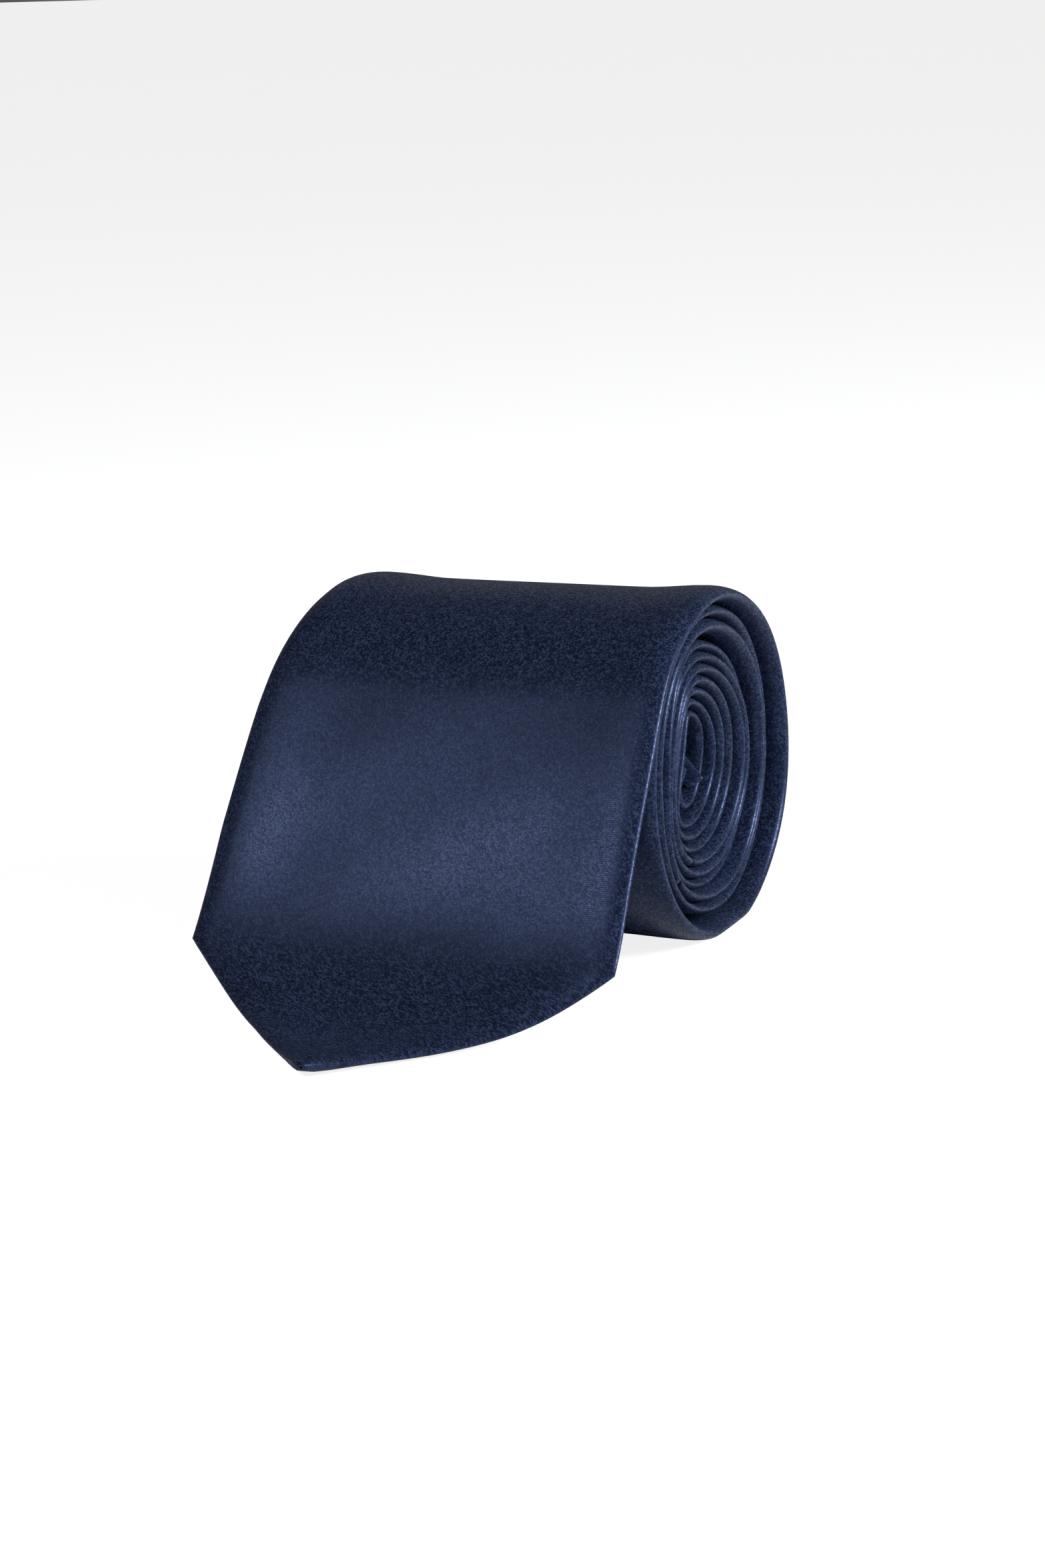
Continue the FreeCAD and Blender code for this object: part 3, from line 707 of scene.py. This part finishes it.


# the light end of the satin's colours is partly a painted glint of single floats
SATIN = cloth("navy_satin", (0.006, 0.010, 0.030), (0.066, 0.096, 0.205), rib=0.42, weft=0.6,
              roughness=0.29, sheen=0.03, specular=0.60, specular_tint=(0.40, 0.52, 1.0), strength=1.0,
              float_tone_and_glint_share=0.85, depth=0.000055)
WOOL = cloth("interlining_wool", (0.16, 0.15, 0.13), (0.42, 0.40, 0.36), rib=1.1, weft=0.9, roughness=0.85,
             sheen=0.3, sheen_tint=(1, 1, 1), specular=0.1, strength=0.8, float_tone_and_glint_share=0.5, depth=0.00025)
LINING = cloth("tipping_lining", (0.010, 0.013, 0.026), (0.045, 0.055, 0.095), rib=0.22, weft=0.3, twill=0.0,
               roughness=0.45, sheen=0.1, specular=0.35, strength=0.35, float_tone_and_glint_share=0.35, depth=0.00004)
THREAD = cloth("sewing_thread", (0.010, 0.013, 0.028), (0.070, 0.085, 0.150), rib=0.35, weft=0.4,
               roughness=0.5, sheen=0.3, specular=0.3, strength=0.6, float_tone_and_glint_share=0.4, depth=0.00005)
WOVEN = cloth("woven_label", (0.012, 0.015, 0.028), (0.060, 0.070, 0.110), rib=0.30, weft=0.25, twill=0.0,
              roughness=0.6, sheen=0.1, specular=0.25, strength=0.5, float_tone_and_glint_share=0.3, depth=0.00006)


def finish_piece(piece, finish, nodes, body="roll"):
    piece.data.materials.append(finish)
    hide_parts(*nodes)
    if body:
        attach(piece, body)


finish_piece(satin_neck, SATIN, ["neck_satin"])
finish_piece(satin_tail, SATIN, ["tail_satin"])
finish_piece(tipping_tail, LINING, ["tail_tipping"])
finish_piece(seam_one, SATIN, ["blade_neck_join"])
finish_piece(seam_two, SATIN, ["neck_tail_join"])
finish_piece(slip, THREAD, ["slip_stitch"])
finish_piece(keeper, SATIN, ["keeper_loop"])
finish_piece(keeper_threads, THREAD, ["keeper_stitches"])
finish_piece(label, WOVEN, ["blank_label"])
finish_piece(label_threads, THREAD, ["label_stitches"])
finish_piece(blade_tack, THREAD, ["blade_bar_tack"])
finish_piece(tail_tack, THREAD, ["tail_bar_tack"])
for piece, finish, slot, nodes in (
        (satin_blade, SATIN, "satin", ["blade_satin_free", "blade_satin_rolled"]),
        (interlining, WOOL, "interlining", ["interlining_free", "interlining_rolled"]),
        (tipping_blade, LINING, "tipping", ["blade_tipping_free", "blade_tipping_rolled"])):
    finish_piece(piece, finish, nodes, body=None)
    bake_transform(piece)

size("keeper_wide") * MM
size("keeper_span") * MM
size("label_span") * MM
size("label_long") * MM

# ---- floor, light and camera ----

floor_mesh = bpy.data.meshes.new("floor")
floor_mesh.from_pydata([(-6, -6, 0), (6, -6, 0), (6, 6, 0), (-6, 6, 0)], [], [(0, 1, 2, 3)])
floor = bpy.data.objects.new("floor", floor_mesh)
bpy.context.scene.collection.objects.link(floor)
white, tree = material("pale_floor")
speck = node(tree, "ShaderNodeTexNoise", {"Scale": 40.0, "Detail": 2.0}).outputs["Fac"]
shade = ramp(tree, speck, [(0.0, (0.90, 0.90, 0.90)), (1.0, (0.93, 0.93, 0.93))])
seen = node(tree, "ShaderNodeLightPath").outputs["Is Camera Ray"]
glow = node(tree, "ShaderNodeMath", {0: seen, 1: 0.84}, operation="MULTIPLY").outputs[0]
shader = node(tree, "ShaderNodeBsdfPrincipled", {
    "Base Color": shade, "Roughness": 0.9, "Specular IOR Level": 0.0,
    "Emission Color": (1.0, 1.0, 1.0, 1.0), "Emission Strength": glow})
tree.links.new(shader.outputs[0], node(tree, "ShaderNodeOutputMaterial").inputs[0])
floor.data.materials.append(white)

scene = bpy.context.scene
scene.view_settings.view_transform = "Standard"
world = bpy.data.worlds.new("studio")
scene.world = world
world.use_nodes = True
tree = world.node_tree
toward = node(tree, "ShaderNodeTexCoord").outputs["Generated"]
level = node(tree, "ShaderNodeSeparateXYZ", {0: toward}).outputs["Z"]
band = node(tree, "ShaderNodeMapRange", {"Value": level, "From Min": 0.42, "From Max": 0.68, "To Min": 1.0,
            "To Max": 0.12}, interpolation_type="SMOOTHSTEP").outputs[0]
rear = node(tree, "ShaderNodeVectorMath", {0: toward, 1: (-0.2, 0.98, 0.0)},
            operation="DOT_PRODUCT").outputs["Value"]
wrap = node(tree, "ShaderNodeMapRange", {"Value": rear, "From Min": -0.3, "From Max": 0.5, "To Min": 0.34,
            "To Max": 2.0}, interpolation_type="SMOOTHSTEP").outputs[0]
around = node(tree, "ShaderNodeMath", {0: band, 1: wrap}, operation="MULTIPLY").outputs[0]
facing = node(tree, "ShaderNodeVectorMath", {0: toward, 1: (-0.42, -0.58, 0.70)},
              operation="DOT_PRODUCT").outputs["Value"]
front = node(tree, "ShaderNodeMapRange", {"Value": facing, "From Min": 0.86, "From Max": 0.99, "To Min": 0.0,
             "To Max": 0.9}, interpolation_type="SMOOTHSTEP").outputs[0]
both = node(tree, "ShaderNodeMath", {0: around, 1: front}, operation="MAXIMUM").outputs[0]
seen = node(tree, "ShaderNodeLightPath").outputs["Is Camera Ray"]
shown = node(tree, "ShaderNodeMath", {0: both, 1: seen}, operation="MAXIMUM").outputs[0]
tree.links.new(shown, tree.nodes["Background"].inputs[1])

MIDDLE = Vector((0.0, 0.0, 0.035))


def soft_box(name, azimuth, elevation, distance, width, power, colour=(1, 1, 1)):
    lamp = bpy.data.lights.new(name, "AREA")
    lamp.shape = "SQUARE"
    lamp.size = width
    lamp.energy = power
    lamp.color = colour
    made = bpy.data.objects.new(name, lamp)
    a, e = radians(azimuth), radians(elevation)
    back = Vector((sin(a) * cos(e), -cos(a) * cos(e), sin(e)))
    made.location = MIDDLE + back * distance
    made.rotation_euler = back.to_track_quat("Z", "Y").to_euler()
    bpy.context.scene.collection.objects.link(made)


soft_box("front_left_soft", -23, 38, 1.1, 0.30, 2.9)
soft_box("right_soft", 97, 24, 0.9, 0.30, 6.0, (0.93, 0.96, 1.0))

AZIMUTH, ELEVATION, ROLL = radians(24.0), radians(13.0), radians(-2.285)
LOOK_AT = Vector((-1.9, 32.7, 38.25)) * MM
DISTANCE = 0.715
back = Vector((sin(AZIMUTH) * cos(ELEVATION), -cos(AZIMUTH) * cos(ELEVATION), sin(ELEVATION)))
right = Vector((cos(AZIMUTH), sin(AZIMUTH), 0.0))
up = back.cross(right)
rolled_right = right * cos(ROLL) + up * sin(ROLL)
rolled_up = up * cos(ROLL) - right * sin(ROLL)
lens = bpy.data.cameras.new("camera")
lens.sensor_fit = "AUTO"
lens.sensor_width = 36.0
lens.lens = 84.18
lens.shift_x = -0.0019
lens.shift_y = -0.0349
lens.clip_start = 0.01
camera = bpy.data.objects.new("camera", lens)
place = Matrix((rolled_right, rolled_up, back)).transposed().to_4x4()
place.translation = LOOK_AT + back * DISTANCE
camera.matrix_world = place
bpy.context.scene.collection.objects.link(camera)
scene.camera = camera
